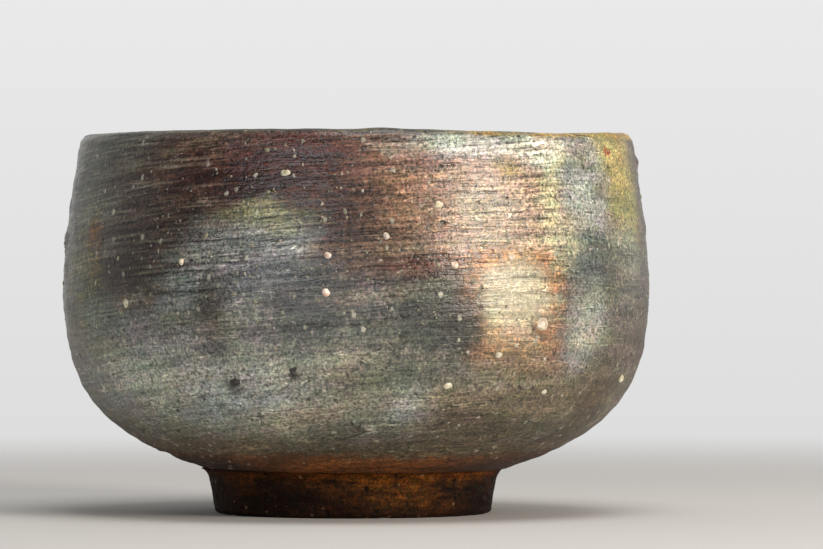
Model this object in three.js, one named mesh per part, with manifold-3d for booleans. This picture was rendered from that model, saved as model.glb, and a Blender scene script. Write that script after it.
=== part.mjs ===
// Matcha bowl in wood-fired stoneware: a thrown bowl, a foot ring luted under it,
// and the coarse mineral grains of the clay that stand out of its outer wall.
// Millimetres, +Z up. The foot stands on z = 0 and the bowl's axis is the Z axis.

import * as THREE from 'three';
import { mergeVertices } from 'three/addons/utils/BufferGeometryUtils.js';
import Module from 'manifold-3d';

const wasm = await Module();
wasm.setup();

// ---- driving dimensions ----

const height = 77.8;            // table to the top of the lip
const bellyRadius = 60;         // widest point of the wall
const bellyHeight = 46.9;       // height of the widest point
const rimRadius = 56.8;         // outside, where the lip begins to round over
const rimLean = 8;              // degrees that the wall leans inwards at the rim
const lipThickness = 4.8;
const lipRise = 3;              // height of the rounded lip
const wallThickness = 5.3;      // at the belly

const footHeight = 9.1;
const footTopRadius = 29.6;     // outside of the foot, just below its fillet
const footBaseRadius = 28.4;    // outside of the foot, above its rounded edge
const footBoreRadius = 23;      // inside of the foot ring
const footFillet = 0.6;         // hollow curve where the foot meets the bowl
const footEdgeRound = 1.3;      // rounded edge that meets the table
const footInnerChamfer = 0.9;
const footOffset = -0.7;        // the foot was luted a little off the bowl's axis, along X
const slipGap = 0.3;            // joint between foot ring and bowl

const bossDrop = 3.1;           // the bowl's underside stands down into the ring
const bossRoot = 1;             // height of the boss inside the floor that it grows from
const floorThickness = 7;       // clay between the recess and the tea well
const wellRadius = 19;          // pool in the middle of the floor
const wellDepth = 1.2;
const undersideAngle = 17.9;    // degrees above level, where the wall leaves the foot
const floorAngle = 7;           // degrees above level, where the wall leaves the floor

const grainGap = 0.3;           // shrinkage gap around a grain
const grainProud = 0.36;        // share of a grain's depth that stands out of the wall

// How full each curve is: the length of its end handles as a share of its span.
const fullness = {
  underside: 0.81,
  bellyBelow: 0.58,
  bellyAbove: 0.27,
  rim: 0.145,
  floor: 0.74,
  insideBelly: 0.64,
};

const segmentsAround = 60;
const lowerWallSteps = 10;
const upperWallSteps = 5;
const lipSteps = 6;
const footRoundSteps = 4;       // for each round stretch of the foot's outline
const pebbleDetail = 1;         // subdivisions of an icosahedron
const samePoint = 1e-6;         // closer points of an outline are one
const weldGap = 1e-4;           // closer vertices of a surface are one

// Mineral grains. across, along and deep are full sizes: level, up the wall and into it.
// azimuth is in degrees from the front (-Y) towards +X. up is the place on the outer
// outline, from 0 where the wall leaves the foot to 1 at the rim.
const feldspar = [
  { azimuth: 38.1, up: 0.560, across: 2.9, along: 2.8, deep: 2.4 },
  { azimuth: -5.7, up: 0.639, across: 1.8, along: 1.7, deep: 1.6 },
  { azimuth: 18.8, up: 0.705, across: 1.6, along: 1.5, deep: 1.5 },
  { azimuth: 28.5, up: 0.485, across: 1.5, along: 1.4, deep: 1.4 },
  { azimuth: 18.5, up: 0.406, across: 1.9, along: 1.3, deep: 1.4 },
  { azimuth: 41.7, up: 0.386, across: 1.4, along: 1.3, deep: 1.3 },
  { azimuth: -13.9, up: 0.928, across: 2.0, along: 1.4, deep: 1.4 },
  { azimuth: -49.9, up: 0.611, across: 1.3, along: 2.1, deep: 1.4 },
  { azimuth: -35.1, up: 0.712, across: 1.3, along: 1.7, deep: 1.4 },
  { azimuth: 5.6, up: 0.775, across: 1.4, along: 1.4, deep: 1.4 },
  { azimuth: -5.4, up: 0.729, across: 1.4, along: 1.3, deep: 1.3 },
  { azimuth: 16.0, up: 0.851, across: 1.6, along: 1.5, deep: 1.4 },
  { azimuth: 69.8, up: 0.415, across: 1.5, along: 1.8, deep: 1.5 },
  { azimuth: 30.8, up: 0.724, across: 1.9, along: 1.5, deep: 1.5 },
];
const ironSpots = [
  { azimuth: -24.8, up: 0.419, across: 2.5, along: 2.2, deep: 1.6 },
  { azimuth: -12.2, up: 0.446, across: 1.9, along: 1.7, deep: 1.4 },
];

// ---- levels that follow from the dimensions ----

const bossRadius = footBoreRadius - slipGap;
const ceilingHeight = footHeight - bossDrop;
const wellHeight = ceilingHeight + floorThickness;
const floorHeight = wellHeight + wellDepth;
const wallStart = new THREE.Vector2(footTopRadius + footFillet, footHeight);
const belly = new THREE.Vector2(bellyRadius, bellyHeight);
const rim = new THREE.Vector2(rimRadius, height - lipRise);
const insideRim = new THREE.Vector2(rimRadius - lipThickness, height - lipRise);
const insideBelly = new THREE.Vector2(bellyRadius - wallThickness, bellyHeight);
const floorEdge = new THREE.Vector2(wellRadius, floorHeight);

const stoneware = new THREE.MeshStandardMaterial({ color: 0x7d7468, roughness: 0.55, metalness: 0 });
const footClay = new THREE.MeshStandardMaterial({ color: 0x4a2c1c, roughness: 0.7, metalness: 0 });
const whiteStone = new THREE.MeshStandardMaterial({ color: 0xe6dcc8, roughness: 0.5, metalness: 0 });
const darkSlag = new THREE.MeshStandardMaterial({ color: 0x23211f, roughness: 0.35, metalness: 0 });

// ---- outlines, as curves of (radius, height) ----

// A point a given length from a start, at an angle above level.
function handle(start, angle, length) {
  const radians = THREE.MathUtils.degToRad(angle);
  return new THREE.Vector2(
    start.x + length * Math.cos(radians),
    start.y + length * Math.sin(radians),
  );
}

function outerWall() {
  const lower = new THREE.CubicBezierCurve(
    wallStart,
    handle(wallStart, undersideAngle, fullness.underside * (belly.x - wallStart.x)),
    handle(belly, -90, fullness.bellyBelow * (belly.y - wallStart.y)),
    belly,
  );
  const upperSpan = rim.y - belly.y;
  const upper = new THREE.CubicBezierCurve(
    belly,
    handle(belly, 90, fullness.bellyAbove * upperSpan),
    handle(rim, rimLean - 90, fullness.rim * upperSpan),
    rim,
  );
  return { lower, upper };
}

function innerWall() {
  const upperSpan = insideRim.y - insideBelly.y;
  const upper = new THREE.CubicBezierCurve(
    insideRim,
    handle(insideRim, rimLean - 90, fullness.rim * upperSpan),
    handle(insideBelly, 90, fullness.bellyAbove * upperSpan),
    insideBelly,
  );
  const lower = new THREE.CubicBezierCurve(
    insideBelly,
    handle(insideBelly, -90, fullness.insideBelly * (insideBelly.y - floorEdge.y)),
    handle(floorEdge, floorAngle, fullness.floor * (insideBelly.x - floorEdge.x)),
    floorEdge,
  );
  return { lower, upper };
}

// The outer outline as one curve, for placing grains.
const outerOutline = new THREE.CurvePath();
outerOutline.add(outerWall().lower);
outerOutline.add(outerWall().upper);

// ---- solids ----

// Revolves an outline about Z. It starts and ends on the axis, or closes on itself.
function revolve(outline) {
  const points = outline.filter((point, i) => i === 0 || point.distanceTo(outline[i - 1]) > samePoint);
  const geometry = new THREE.LatheGeometry(points, segmentsAround);
  geometry.rotateX(Math.PI / 2);
  return weld(geometry);
}

// Merges the shared vertices and drops the triangles that collapse on the axis.
function weld(geometry) {
  geometry.deleteAttribute('normal');
  geometry.deleteAttribute('uv');
  const welded = mergeVertices(geometry, weldGap);
  const corners = welded.index.array;
  const kept = [];
  for (let i = 0; i < corners.length; i += 3) {
    const [a, b, c] = corners.slice(i, i + 3);
    if (a !== b && b !== c && c !== a) {
      kept.push(a, b, c);
    }
  }
  welded.setIndex(kept);
  return welded;
}

function toSolid(geometry) {
  return new wasm.Manifold(new wasm.Mesh({
    numProp: 3,
    vertProperties: new Float32Array(geometry.attributes.position.array),
    triVerts: new Uint32Array(geometry.index.array),
  }));
}

function toGeometry(solid) {
  const mesh = solid.getMesh();
  const geometry = new THREE.BufferGeometry();
  geometry.setAttribute('position', new THREE.BufferAttribute(mesh.vertProperties, 3));
  geometry.setIndex(new THREE.BufferAttribute(mesh.triVerts, 1));
  geometry.computeVertexNormals();
  return geometry;
}

// The thrown bowl: seat for the foot ring, outer wall, lip, inner wall and tea well.
function bowlGeometry() {
  const outer = outerWall();
  const inner = innerWall();
  const lipMiddle = rimRadius - lipThickness / 2;
  const lip = new THREE.EllipseCurve(lipMiddle, rim.y, lipThickness / 2, lipRise, 0, Math.PI);
  return revolve([
    new THREE.Vector2(0, footHeight),
    ...outer.lower.getPoints(lowerWallSteps),
    ...outer.upper.getPoints(upperWallSteps),
    ...lip.getPoints(lipSteps),
    ...inner.upper.getPoints(upperWallSteps),
    ...inner.lower.getPoints(lowerWallSteps),
    new THREE.Vector2(wellRadius - wellDepth, wellHeight),
    new THREE.Vector2(0, wellHeight),
  ]);
}

// The boss under the floor, which the foot ring fits round.
function bossGeometry() {
  const boss = revolve([
    new THREE.Vector2(0, ceilingHeight),
    new THREE.Vector2(bossRadius, ceilingHeight),
    new THREE.Vector2(bossRadius, footHeight + bossRoot),
    new THREE.Vector2(0, footHeight + bossRoot),
  ]);
  return boss.translate(footOffset, 0, 0);
}

// The foot ring, seated a slip gap below the bowl and outside its boss.
function footRingGeometry() {
  const top = footHeight - slipGap;
  const outline = new THREE.Path();
  outline.moveTo(footBoreRadius + footInnerChamfer, 0);
  outline.lineTo(footBaseRadius - footEdgeRound, 0);
  outline.absarc(footBaseRadius - footEdgeRound, footEdgeRound, footEdgeRound, -Math.PI / 2, 0);
  outline.lineTo(footTopRadius, top - footFillet);
  outline.absarc(footTopRadius + footFillet, top - footFillet, footFillet, Math.PI, Math.PI / 2, true);
  outline.lineTo(footBoreRadius, top);
  outline.lineTo(footBoreRadius, footInnerChamfer);
  outline.closePath();
  return revolve(outline.getPoints(footRoundSteps));
}

// A rough pebble, its middle at the origin and +Z pointing out of the wall.
function grainGeometry(grain, growth) {
  const geometry = new THREE.IcosahedronGeometry(1, pebbleDetail);
  geometry.scale(
    grain.across / 2 + growth,
    grain.along / 2 + growth,
    grain.deep / 2 + growth,
  );
  return weld(geometry);
}

// Where a grain sits: on the outer outline, turned to face out of the wall.
function grainPlace(grain) {
  const point = outerOutline.getPointAt(grain.up);
  const tangent = outerOutline.getTangentAt(grain.up);
  const around = THREE.MathUtils.degToRad(grain.azimuth);
  const out = new THREE.Vector3(Math.sin(around), -Math.cos(around), 0);
  const level = new THREE.Vector3(Math.cos(around), Math.sin(around), 0);
  const normal = out.clone().multiplyScalar(tangent.y);
  normal.z = -tangent.x;
  const upWall = new THREE.Vector3().crossVectors(normal, level);
  const place = new THREE.Matrix4().makeBasis(level, upWall, normal);
  const middle = out.multiplyScalar(point.x);
  middle.z = point.y;
  middle.addScaledVector(normal, -grain.deep * (0.5 - grainProud));
  return place.setPosition(middle);
}

function bowlBody(grains) {
  let solid = toSolid(bowlGeometry()).add(toSolid(bossGeometry()));
  for (const grain of grains) {
    const pocket = grainGeometry(grain, grainGap).applyMatrix4(grainPlace(grain));
    solid = solid.subtract(toSolid(pocket));
  }
  return toGeometry(solid);
}

// ---- scene graph ----

function addPart(group, name, geometry, material) {
  const mesh = new THREE.Mesh(geometry, material);
  mesh.name = name;
  group.add(mesh);
  return mesh;
}

function addGrains(group, prefix, grains, material) {
  grains.forEach((grain, i) => {
    const name = `${prefix}_${String(i + 1).padStart(2, '0')}`;
    const mesh = addPart(group, name, grainGeometry(grain, 0), material);
    mesh.applyMatrix4(grainPlace(grain));
  });
}

const matchaBowl = new THREE.Group();
addPart(matchaBowl, 'bowl_body', bowlBody([...feldspar, ...ironSpots]), stoneware);
addPart(matchaBowl, 'foot_ring', footRingGeometry(), footClay).position.x = footOffset;
addGrains(matchaBowl, 'feldspar_stone', feldspar, whiteStone);
addGrains(matchaBowl, 'iron_spot', ironSpots, darkSlag);

export default matchaBowl;
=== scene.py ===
import math
import random

import bmesh
import bpy
from mathutils import Matrix, Vector, noise
from mathutils.bvhtree import BVHTree
from mathutils.geometry import interpolate_bezier


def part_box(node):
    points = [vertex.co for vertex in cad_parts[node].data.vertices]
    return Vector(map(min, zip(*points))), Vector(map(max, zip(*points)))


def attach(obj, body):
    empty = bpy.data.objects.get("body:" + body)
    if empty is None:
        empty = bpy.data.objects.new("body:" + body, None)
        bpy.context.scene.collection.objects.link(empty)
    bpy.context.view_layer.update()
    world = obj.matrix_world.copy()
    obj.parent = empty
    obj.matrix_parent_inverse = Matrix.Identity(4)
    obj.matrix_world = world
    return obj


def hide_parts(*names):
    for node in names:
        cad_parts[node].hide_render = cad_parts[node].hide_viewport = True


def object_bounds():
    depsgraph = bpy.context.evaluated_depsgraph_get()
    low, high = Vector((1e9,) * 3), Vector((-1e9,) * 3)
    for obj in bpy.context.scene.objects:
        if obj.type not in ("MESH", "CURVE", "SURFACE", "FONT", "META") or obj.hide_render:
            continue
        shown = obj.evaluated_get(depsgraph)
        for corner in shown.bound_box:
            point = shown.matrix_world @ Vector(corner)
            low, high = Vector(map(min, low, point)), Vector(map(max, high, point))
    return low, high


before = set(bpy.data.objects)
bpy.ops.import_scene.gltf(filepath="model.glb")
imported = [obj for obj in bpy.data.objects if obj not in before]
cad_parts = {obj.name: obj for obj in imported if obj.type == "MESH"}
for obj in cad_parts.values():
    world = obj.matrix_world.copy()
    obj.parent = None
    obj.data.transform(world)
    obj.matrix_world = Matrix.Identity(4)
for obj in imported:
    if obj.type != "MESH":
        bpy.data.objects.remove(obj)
cadLow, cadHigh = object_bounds()
mm = 0.001


# colours and nodes

def hexColor(text):
    # an sRGB hex value turned to linear
    channels = [int(text[i:i + 2], 16) / 255 for i in (1, 3, 5)]
    return [c / 12.92 if c <= 0.04045 else ((c + 0.055) / 1.055) ** 2.4 for c in channels] + [1]


def addNode(tree, kind, inputs=None, stops=(), **settings):
    # an input is a plain value, a node (the first of its outputs in use), or (node, output)
    node = tree.nodes.new("ShaderNode" + kind)
    for name, value in settings.items():
        setattr(node, name, value)
    for key, value in (inputs or {}).items():
        if isinstance(value, bpy.types.Node):
            value = (value, next(i for i, output in enumerate(value.outputs) if output.enabled))
        if isinstance(value, tuple) and isinstance(value[0], bpy.types.Node):
            tree.links.new(value[0].outputs[value[1]], node.inputs[key])
        else:
            node.inputs[key].default_value = value
    for i, (position, color) in enumerate(stops):
        element = node.color_ramp.elements[i] if i < 2 else node.color_ramp.elements.new(position)
        element.position, element.color = position, hexColor(color)
    return node


def newMaterial(name):
    material = bpy.data.materials.new(name)
    material.use_nodes = True
    material.node_tree.nodes.clear()
    return material, material.node_tree


def finishMaterial(tree, color, roughness, normal, **fixed):
    shader = addNode(tree, "BsdfPrincipled", {
        "Base Color": color, "Roughness": roughness, "Normal": normal,
    })
    for name, value in fixed.items():
        shader.inputs[name.replace("_", " ")].default_value = value
    addNode(tree, "OutputMaterial", {"Surface": shader})


# the camera and the studio

camera = {
    "distance": 1.27,    # a long lens from across the room
    "height": 55.6 * mm,
    "yaw": 0.509,        # degrees to the right, the bowl stands left of the middle
    "pitch": 0.305,      # degrees down
    "lens": 270.9,
}

studio = {
    "backdrop": "#ebebeb",
    "backdropLow": "#dadada",
    "backdropFade": 0.05,         # sine of the elevation over which it darkens
    "fromBehind": 0.52,           # light off the pale backdrop
    "fromFront": 0.10,            # light off the dark side of the room
    "floor": "#cfccc8",
    "floorRadius": 0.7,
    "openShare": 0.85,            # open under the foot, as a share of its radius, to look at it from below
    "floorFade": (0.16, 0.55),    # the floor melts into the backdrop
}

lights = [
    {"name": "keySoftbox", "azimuth": 50, "elevation": 14, "distance": 0.95, "size": (0.27, 0.27),
     "watts": 7.6, "color": "#fff6ea"},
    {"name": "fillSoftbox", "azimuth": -22, "elevation": 4, "distance": 1.3, "size": (0.9, 0.5),
     "watts": 6.0, "color": "#f6f7ff"},
    {"name": "edgeStrip", "azimuth": -163, "elevation": 6, "distance": 0.9, "size": (0.2, 0.5),
     "watts": 0.15, "color": "#f8faff"},
    {"name": "topSheet", "azimuth": 30, "elevation": 74, "distance": 1.0, "size": (0.6, 0.6),
     "watts": 5.0, "color": "#ffffff"},
]


def lookFrom(azimuth, elevation, distance):
    # a place round the bowl; azimuth 0 is the front (-Y), 90 is +X
    a, e = math.radians(azimuth), math.radians(elevation)
    return Vector((math.sin(a) * math.cos(e), -math.cos(a) * math.cos(e), math.sin(e))) * distance


def addCamera():
    data = bpy.data.cameras.new("camera")
    data.lens = camera["lens"]
    data.sensor_width = 36
    data.clip_end = 20
    made = bpy.data.objects.new("camera", data)
    made.location = (0, -camera["distance"], camera["height"])
    pitch, yaw = math.radians(camera["pitch"]), math.radians(camera["yaw"])
    made.rotation_euler = (math.radians(90) - pitch, 0, -yaw)
    bpy.context.scene.collection.objects.link(made)
    bpy.context.scene.camera = made


def addLights():
    middle = (cadLow + cadHigh) / 2
    for light in lights:
        data = bpy.data.lights.new(light["name"], "AREA")
        data.shape = "RECTANGLE"
        data.size, data.size_y = light["size"]
        data.energy = light["watts"]
        data.color = hexColor(light["color"])[:3]
        made = bpy.data.objects.new(light["name"], data)
        away = lookFrom(light["azimuth"], light["elevation"], light["distance"])
        made.location = middle + away
        made.rotation_euler = away.to_track_quat("Z", "Y").to_euler()
        bpy.context.scene.collection.objects.link(made)


def addWorld():
    world = bpy.data.worlds.new("studio")
    bpy.context.scene.world = world
    world.use_nodes = True
    tree = world.node_tree
    tree.nodes.clear()
    direction = addNode(tree, "SeparateXYZ", {0: (addNode(tree, "TexCoord"), "Generated")})
    rise = addNode(tree, "MapRange", {
        0: (direction, 2), 1: -studio["backdropFade"], 2: studio["backdropFade"],
    })
    seen = addNode(tree, "Mix", {
        0: rise, 6: hexColor(studio["backdropLow"]), 7: hexColor(studio["backdrop"]),
    }, data_type="RGBA")
    side = addNode(tree, "MapRange", {
        0: (direction, 1), 1: -0.5, 2: 0.5, 3: studio["fromFront"], 4: studio["fromBehind"],
    }, interpolation_type="SMOOTHSTEP")
    lit = addNode(tree, "CombineColor", {0: side, 1: side, 2: side})
    color = addNode(tree, "Mix", {0: addNode(tree, "LightPath"), 6: lit, 7: seen}, data_type="RGBA")
    background = addNode(tree, "Background", {0: color})
    addNode(tree, "OutputWorld", {0: background})


def addFloor():
    bm = bmesh.new()
    footLow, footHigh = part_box("foot_ring")
    hidden = (footHigh.x - footLow.x) / 2 * studio["openShare"]
    under = Matrix.Translation((0, 0, -0.02 * mm))
    for radius in (hidden, studio["floorRadius"]):
        bmesh.ops.create_circle(bm, segments=96, radius=radius, matrix=under)
    bmesh.ops.bridge_loops(bm, edges=bm.edges)
    bmesh.ops.recalc_face_normals(bm, faces=bm.faces)
    if any(face.normal.z < 0 for face in bm.faces):
        bmesh.ops.reverse_faces(bm, faces=bm.faces)
    mesh = bpy.data.meshes.new("floor")
    bm.to_mesh(mesh)
    bm.free()
    floor = bpy.data.objects.new("floor", mesh)
    bpy.context.scene.collection.objects.link(floor)
    material, tree = newMaterial("paintedTable")
    place = (addNode(tree, "TexCoord"), "Object")
    away = addNode(tree, "VectorMath", {0: place}, operation="LENGTH")
    fade = addNode(tree, "MapRange", {
        0: away, 1: studio["floorFade"][0], 2: studio["floorFade"][1],
    }, interpolation_type="SMOOTHSTEP")
    paint = addNode(tree, "BsdfDiffuse", {0: hexColor(studio["floor"])})
    clear = addNode(tree, "BsdfTransparent")
    below = (addNode(tree, "NewGeometry"), "Backfacing")
    gone = addNode(tree, "Math", {0: fade, 1: below}, operation="MAXIMUM")
    mixed = addNode(tree, "MixShader", {0: gone, 1: paint, 2: clear})
    addNode(tree, "OutputMaterial", {0: mixed})
    mesh.materials.append(material)


# outlines taken from the frame's solids

def nodeOutline(name, azimuth):
    # half the section of a turned solid, from a copy of its mesh cut through its own axis
    low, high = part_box(name)
    middle = (low + high) / 2
    bm = bmesh.new()
    bm.from_mesh(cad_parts[name].data)
    bmesh.ops.remove_doubles(bm, verts=bm.verts, dist=0.001 * mm)
    bmesh.ops.translate(bm, verts=bm.verts, vec=(-middle.x, -middle.y, 0))
    bmesh.ops.rotate(bm, verts=bm.verts, matrix=Matrix.Rotation(math.radians(90 - azimuth), 3, "Z"))
    for normal, both in (((0, 1, 0), True), ((1, 0, 0), False)):
        everything = bm.verts[:] + bm.edges[:] + bm.faces[:]
        bmesh.ops.bisect_plane(bm, geom=everything, plane_no=normal, clear_inner=True, clear_outer=both)
    bmesh.ops.remove_doubles(bm, verts=bm.verts, dist=0.01 * mm)
    # walk along it from the lowest point on the axis, or outwards from a ring's lowest point
    start = min(bm.verts, key=lambda v: (v.co.x > 0.01 * mm, v.co.z, v.co.x))
    walked, here, points = set(), start, [start.co.copy()]
    while True:
        edges = [e for e in here.link_edges if e not in walked]
        if not edges:
            break
        edge = max(edges, key=lambda e: e.other_vert(here).co.x) if here is start else edges[0]
        walked.add(edge)
        here = edge.other_vert(here)
        points.append(here.co.copy())
    bm.free()
    # a facet's flat lies inside the true circle, so the widest point goes back to the real radius
    stretch = (high.x - middle.x) / max(p.x for p in points)
    return [Vector((p.x * stretch, 0, p.z)) for p in points]


cornerAngle = math.radians(32)


def isCorner(before, here, after):
    return (here - before).angle(after - here, 0) > cornerAngle


def smoothOutline(points, spacing):
    # curves through the points between sharp corners, with rows as close as spacing(point) asks
    closed = (points[0] - points[-1]).length < 0.01 * mm
    count = len(points)
    slopes = []
    for i in range(count):
        before = points[i - 1] if i else (points[-2] if closed else points[0])
        after = points[i + 1] if i < count - 1 else (points[1] if closed else points[-1])
        ends = not closed and i in (0, count - 1)
        if ends or isCorner(before, points[i], after):
            slopes.append(None)
        else:
            slopes.append((after - before).normalized())
    fine = []
    for i in range(count - 1):
        a, b = points[i], points[i + 1]
        reach = (b - a).length / 3
        handleA = a + (slopes[i] * reach if slopes[i] else (b - a) / 3)
        handleB = b - (slopes[i + 1] * reach if slopes[i + 1] else (b - a) / 3)
        steps = max(2, math.ceil((b - a).length / spacing((a + b) / 2)) + 1)
        fine += interpolate_bezier(a, handleA, handleB, b, steps)[:-1]
    if not closed:
        fine.append(points[-1])
    return fine


def spinOutline(name, outline, steps, closed, shares):
    # spins an outline about Z and unrolls it on the UV map; shares gives each row's weight on the map
    bm = bmesh.new()
    along = bm.verts.layers.float.new("along")
    inside = bm.verts.layers.float.new("inside")
    top = max(range(len(outline)), key=lambda i: outline[i].z)
    made, total = [], 0
    for i, point in enumerate(outline):
        vert = bm.verts.new(point)
        if i:
            total += (point - outline[i - 1]).length * shares(outline, i, top)
        vert[along] = total
        vert[inside] = 1 if i > top else 0
        made.append(vert)
    edges = [bm.edges.new(pair) for pair in zip(made, made[1:] + (made[:1] if closed else []))]
    bmesh.ops.spin(
        bm, geom=made + edges, axis=(0, 0, 1), cent=(0, 0, 0),
        angle=math.tau, steps=steps, use_merge=True,
    )
    bmesh.ops.remove_doubles(bm, verts=bm.verts, dist=0.001 * mm)
    bmesh.ops.recalc_face_normals(bm, faces=bm.faces)
    unrolled = bm.loops.layers.uv.new("OFBake")
    for face in bm.faces:
        face.smooth = True
        centre = face.calc_center_median()
        middle = math.atan2(centre.y, centre.x) / math.tau
        heights = [loop.vert[along] for loop in face.loops]
        wraps = closed and max(heights) - min(heights) > total / 2
        for loop in face.loops:
            co = loop.vert.co
            turn = math.atan2(co.y, co.x) / math.tau
            turn += round(middle - turn)
            if co.xy.length < 0.01 * mm:
                turn = middle
            height = loop.vert[along]
            if wraps and height < total / 2:
                height = total
            loop[unrolled].uv = ((turn + 0.5) * 0.98 + 0.01, height / total * 0.98 + 0.01)
    print(name, "spun:", len(bm.verts), "vertices")
    return bm


# how hands, tools and fire left the clay, in mm

wheelMarks = {
    "stepsAround": 250,
    "outsideRow": 0.36,
    "lipRow": 0.5,
    "insideRow": 1.7,
    "sway": 0.16,              # out of round
    "ridgeHeight": 0.09,       # finger ridges
    "ridgePitch": 6.0,
    "scrapeHeight": 0.10,      # dragged grit
    "scrapePitch": 1.3,
    "scrapeLength": 13.0,
    "scrapeTilt": 0.065,       # the scraping climbs to the right on the front
    "skinHeight": 0.07,        # sandy skin
    "skinSize": 1.6,
    "tornHeight": 0.45,        # torn clay round the foot
    "insideRidge": 0.25,
    "insidePitch": 5.0,
    "seatMargin": 1.0,         # past the foot ring's edge, where rows may be coarse
    "seatTop": 9.2,
    "seatRow": 1.6,
    "lipHeight": 3.2,
}

rimDips = [  # azimuth, height, width in degrees
    (43, -0.60, 15),
    (24, -0.22, 9),
    (63, -0.30, 13),
    (-72, -0.40, 22),
    (-33, -0.12, 9),
    (5.5, 0.22, 3),
    (150, -0.45, 30),
    (-135, 0.2, 18),
]

wallLumps = [  # azimuth, height, proud, radius
    (90, 71.9, 0.7, 1.3),
    (-84, 56.0, 0.5, 2.4),
    (-81, 50.3, 0.45, 2.0),
    (-86, 63.5, 0.25, 1.8),
    (-88, 44.0, 0.25, 2.2),
    (88, 58.5, 0.25, 1.8),
    (84, 33.0, 0.3, 2.0),
    (-64, 59.5, 0.5, 1.9),
    (128, 61.0, 0.5, 2.4),
    (171, 37.0, 0.45, 2.2),
    (-148, 52.0, 0.5, 2.6),
]


def fade(low, high, value):
    t = min(1, max(0, (value - low) / (high - low)))
    return t * t * (3 - 2 * t)


def azimuthOf(point):
    return math.degrees(math.atan2(point.x, -point.y))


def nearTurn(azimuth, middle, width):
    away = (azimuth - middle + 180) % 360 - 180
    return math.exp(-(away / width) ** 2)


def onWall(azimuth, height, radius):
    a = math.radians(azimuth)
    return Vector((math.sin(a) * radius, -math.cos(a) * radius, height))


def towards(azimuth):
    # a direction, which a dot product with a place on the unrolled wall turns to a cosine
    return tuple(onWall(azimuth, 0, 1 / rollRadius))


def markOutside(p, azimuth):
    # how far the outside of the wall stands out at a point, in mm
    w = wheelMarks
    lifted = p.z - w["scrapeTilt"] * p.x
    wander = noise.noise(Vector((p.x / 30, p.y / 30, p.z / 20))) * 1.5
    ridge = math.sin((lifted + wander * 1.6) / w["ridgePitch"] * math.tau) * noise.noise(p / 22)
    scrape = noise.noise(Vector((
        p.x / w["scrapeLength"], p.y / w["scrapeLength"], (lifted + wander * 0.5) / w["scrapePitch"],
    )))
    coarse = noise.noise(Vector((p.x / 22, p.y / 22, (lifted + wander) / 2.6 + 31)))
    skin = noise.noise(p / w["skinSize"]) + 0.5 * noise.noise(p / w["skinSize"] * 2.3)
    torn = fade(19, 12, p.z) * (0.45 + 0.55 * nearTurn(azimuth, -75, 50))
    tear = noise.noise(Vector((p.x / 2.6, p.y / 2.6, p.z / 1.3 + 7))) * torn
    crust = nearTurn(azimuth, -76, 20) * fade(34, 46, p.z) * fade(72, 62, p.z)
    out = (
        w["ridgeHeight"] * ridge
        + w["scrapeHeight"] * (scrape * 0.7 + coarse * 0.8)
        + w["skinHeight"] * skin * (1 + 1.2 * crust)
        + w["tornHeight"] * tear
        + w["sway"] * noise.noise(Vector((p.x / 70, p.y / 70, p.z / 50)) + Vector((5, 2, 9)))
    )
    for middle, height, proud, radius in wallLumps:
        reach = (p - onWall(middle, height, p.xy.length)).length / radius
        if reach < 2.5:
            out += proud * math.exp(-reach * reach)
    return out


def markInside(p):
    w = wheelMarks
    ridge = math.sin((p.z + 0.08 * p.x + 0.5 * p.xy.length) / w["insidePitch"] * math.tau * 0.8)
    return (
        w["insideRidge"] * 0.45 * ridge * fade(15, 24, p.z)
        + 0.16 * noise.noise(p / 9)
        + 0.05 * noise.noise(p / 2.2)
    )


def shapeWall(bm):
    bm.normal_update()
    inside = bm.verts.layers.float["inside"]
    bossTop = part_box("foot_ring")[1].z / mm
    for vert in bm.verts:
        p = vert.co / mm
        azimuth = azimuthOf(p)
        under = fade(bossTop + 0.6, bossTop + 2.0, p.z)
        if vert[inside] > 0.5:
            out = markInside(p)
        else:
            out = markOutside(p, azimuth) * under + 0.12 * (1 - under) * noise.noise(p / 3)
        vert.co += vert.normal * out * mm
        high = fade(58, 77, p.z)
        if high:
            lift = sum(height * nearTurn(azimuth, middle, width) for middle, height, width in rimDips)
            lift += 0.12 * noise.noise(Vector((p.x / 9, p.y / 9, 3)))
            vert.co.z += lift * high * mm


def addPiece(bm, name, replaced, materials):
    mesh = bpy.data.meshes.new(name)
    bm.to_mesh(mesh)
    bm.free()
    for material in materials:
        mesh.materials.append(material)
    piece = bpy.data.objects.new(name, mesh)
    bpy.context.scene.collection.objects.link(piece)
    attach(piece, "root")
    if replaced:
        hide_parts(*replaced)
    return piece


# the glaze of ash and flame on the wall

rollRadius = 60.0   # mm, the cylinder that the wall's pattern is unrolled on

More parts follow.
